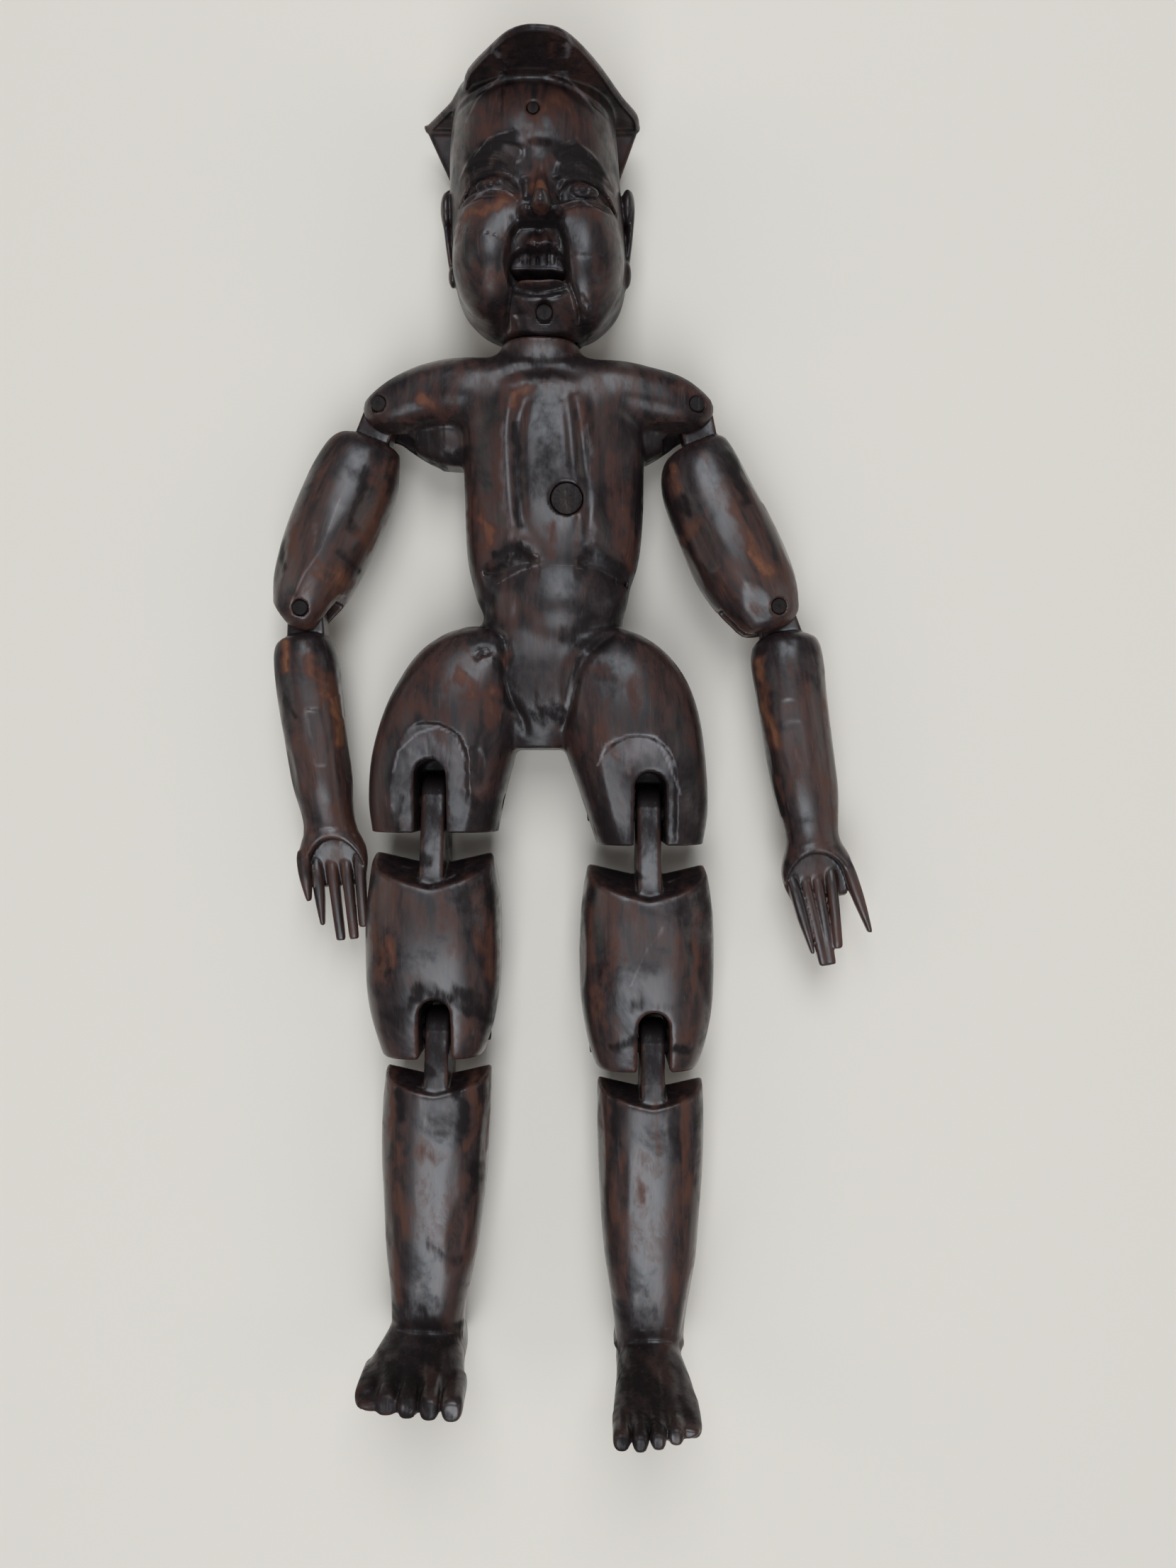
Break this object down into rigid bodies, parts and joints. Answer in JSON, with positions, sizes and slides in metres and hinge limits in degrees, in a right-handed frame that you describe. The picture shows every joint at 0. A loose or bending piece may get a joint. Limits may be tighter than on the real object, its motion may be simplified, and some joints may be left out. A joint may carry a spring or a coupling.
{
  "type": "peg wooden doll",
  "caption": "Dark carved wooden doll with a peaked cap, its head and limbs in fork and tongue joints on round wooden pegs, lying on its flat back.",
  "frame": {"origin": "on the flat back, on the midline between the legs, at the height of the lower ribs", "axes": "+Z out of the chest, away from the rest surface; +Y along the body to the head; +X to the right as seen from the front. left and right in the names are as seen from the front"},
  "size_m": [0.2397, 0.5213, 0.0895],
  "materials": {
    "ebony": "dark stain, waxed and worn",
    "stained_wood": "dark brown stain, waxed, worn red-brown on the edges",
    "peg": "dark stain, dull",
    "plug": "dark, rough end grain"
  },
  "bodies": {
    "torso_body": {"torso": "ebony", "left_shoulder_pin": "peg", "right_shoulder_pin": "peg", "left_hip_pin": "peg", "right_hip_pin": "peg", "belly_plug": "plug"},
    "head_body": {"head": "ebony", "neck_pin": "peg", "forehead_plug": "plug"},
    "left_arm": {"left_upper_arm": "stained_wood", "left_elbow_pin": "peg"},
    "right_arm": {"right_upper_arm": "stained_wood", "right_elbow_pin": "peg"},
    "left_fore": {"left_forearm": "stained_wood"},
    "right_fore": {"right_forearm": "stained_wood"},
    "left_thigh": {"left_thigh_block": "stained_wood", "left_knee_pin": "peg"},
    "right_thigh": {"right_thigh_block": "stained_wood", "right_knee_pin": "peg"},
    "left_shank": {"left_lower_leg": "stained_wood"},
    "right_shank": {"right_lower_leg": "stained_wood"}
  },
  "joints": [
    {"name": "head_tilt", "type": "hinge", "parent": "torso_body", "child": "head_body", "pos_m": [0.003, 0.076, 0.024], "axis": [0, 0, 1], "range_deg": [-6, 6]},
    {"name": "left_shoulder", "type": "hinge", "parent": "torso_body", "child": "left_arm", "pos_m": [-0.0623, 0.0447, 0.024], "axis": [0, 0, -1], "range_deg": [0, 45]},
    {"name": "right_shoulder", "type": "hinge", "parent": "torso_body", "child": "right_arm", "pos_m": [0.0623, 0.0447, 0.024], "axis": [0, 0, 1], "range_deg": [-3, 45]},
    {"name": "left_elbow", "type": "hinge", "parent": "left_arm", "child": "left_fore", "pos_m": [-0.09315, -0.03483, 0.024], "axis": [0, 0, -1], "range_deg": [0, 60]},
    {"name": "right_elbow", "type": "hinge", "parent": "right_arm", "child": "right_fore", "pos_m": [0.09453, -0.03428, 0.024], "axis": [0, 0, 1], "range_deg": [-5, 60]},
    {"name": "left_hip", "type": "hinge", "parent": "torso_body", "child": "left_thigh", "pos_m": [-0.0413, -0.111, 0.024], "axis": [-1, 0, 0], "range_deg": [-30, 40]},
    {"name": "right_hip", "type": "hinge", "parent": "torso_body", "child": "right_thigh", "pos_m": [0.0437, -0.116, 0.024], "axis": [-1, 0, 0], "range_deg": [-30, 40]},
    {"name": "left_knee", "type": "hinge", "parent": "left_thigh", "child": "left_shank", "pos_m": [-0.0398, -0.204, 0.024], "axis": [1, 0, 0], "range_deg": [-20, 40]},
    {"name": "right_knee", "type": "hinge", "parent": "right_thigh", "child": "right_shank", "pos_m": [0.0452, -0.209, 0.024], "axis": [1, 0, 0], "range_deg": [-20, 40]}
  ]
}
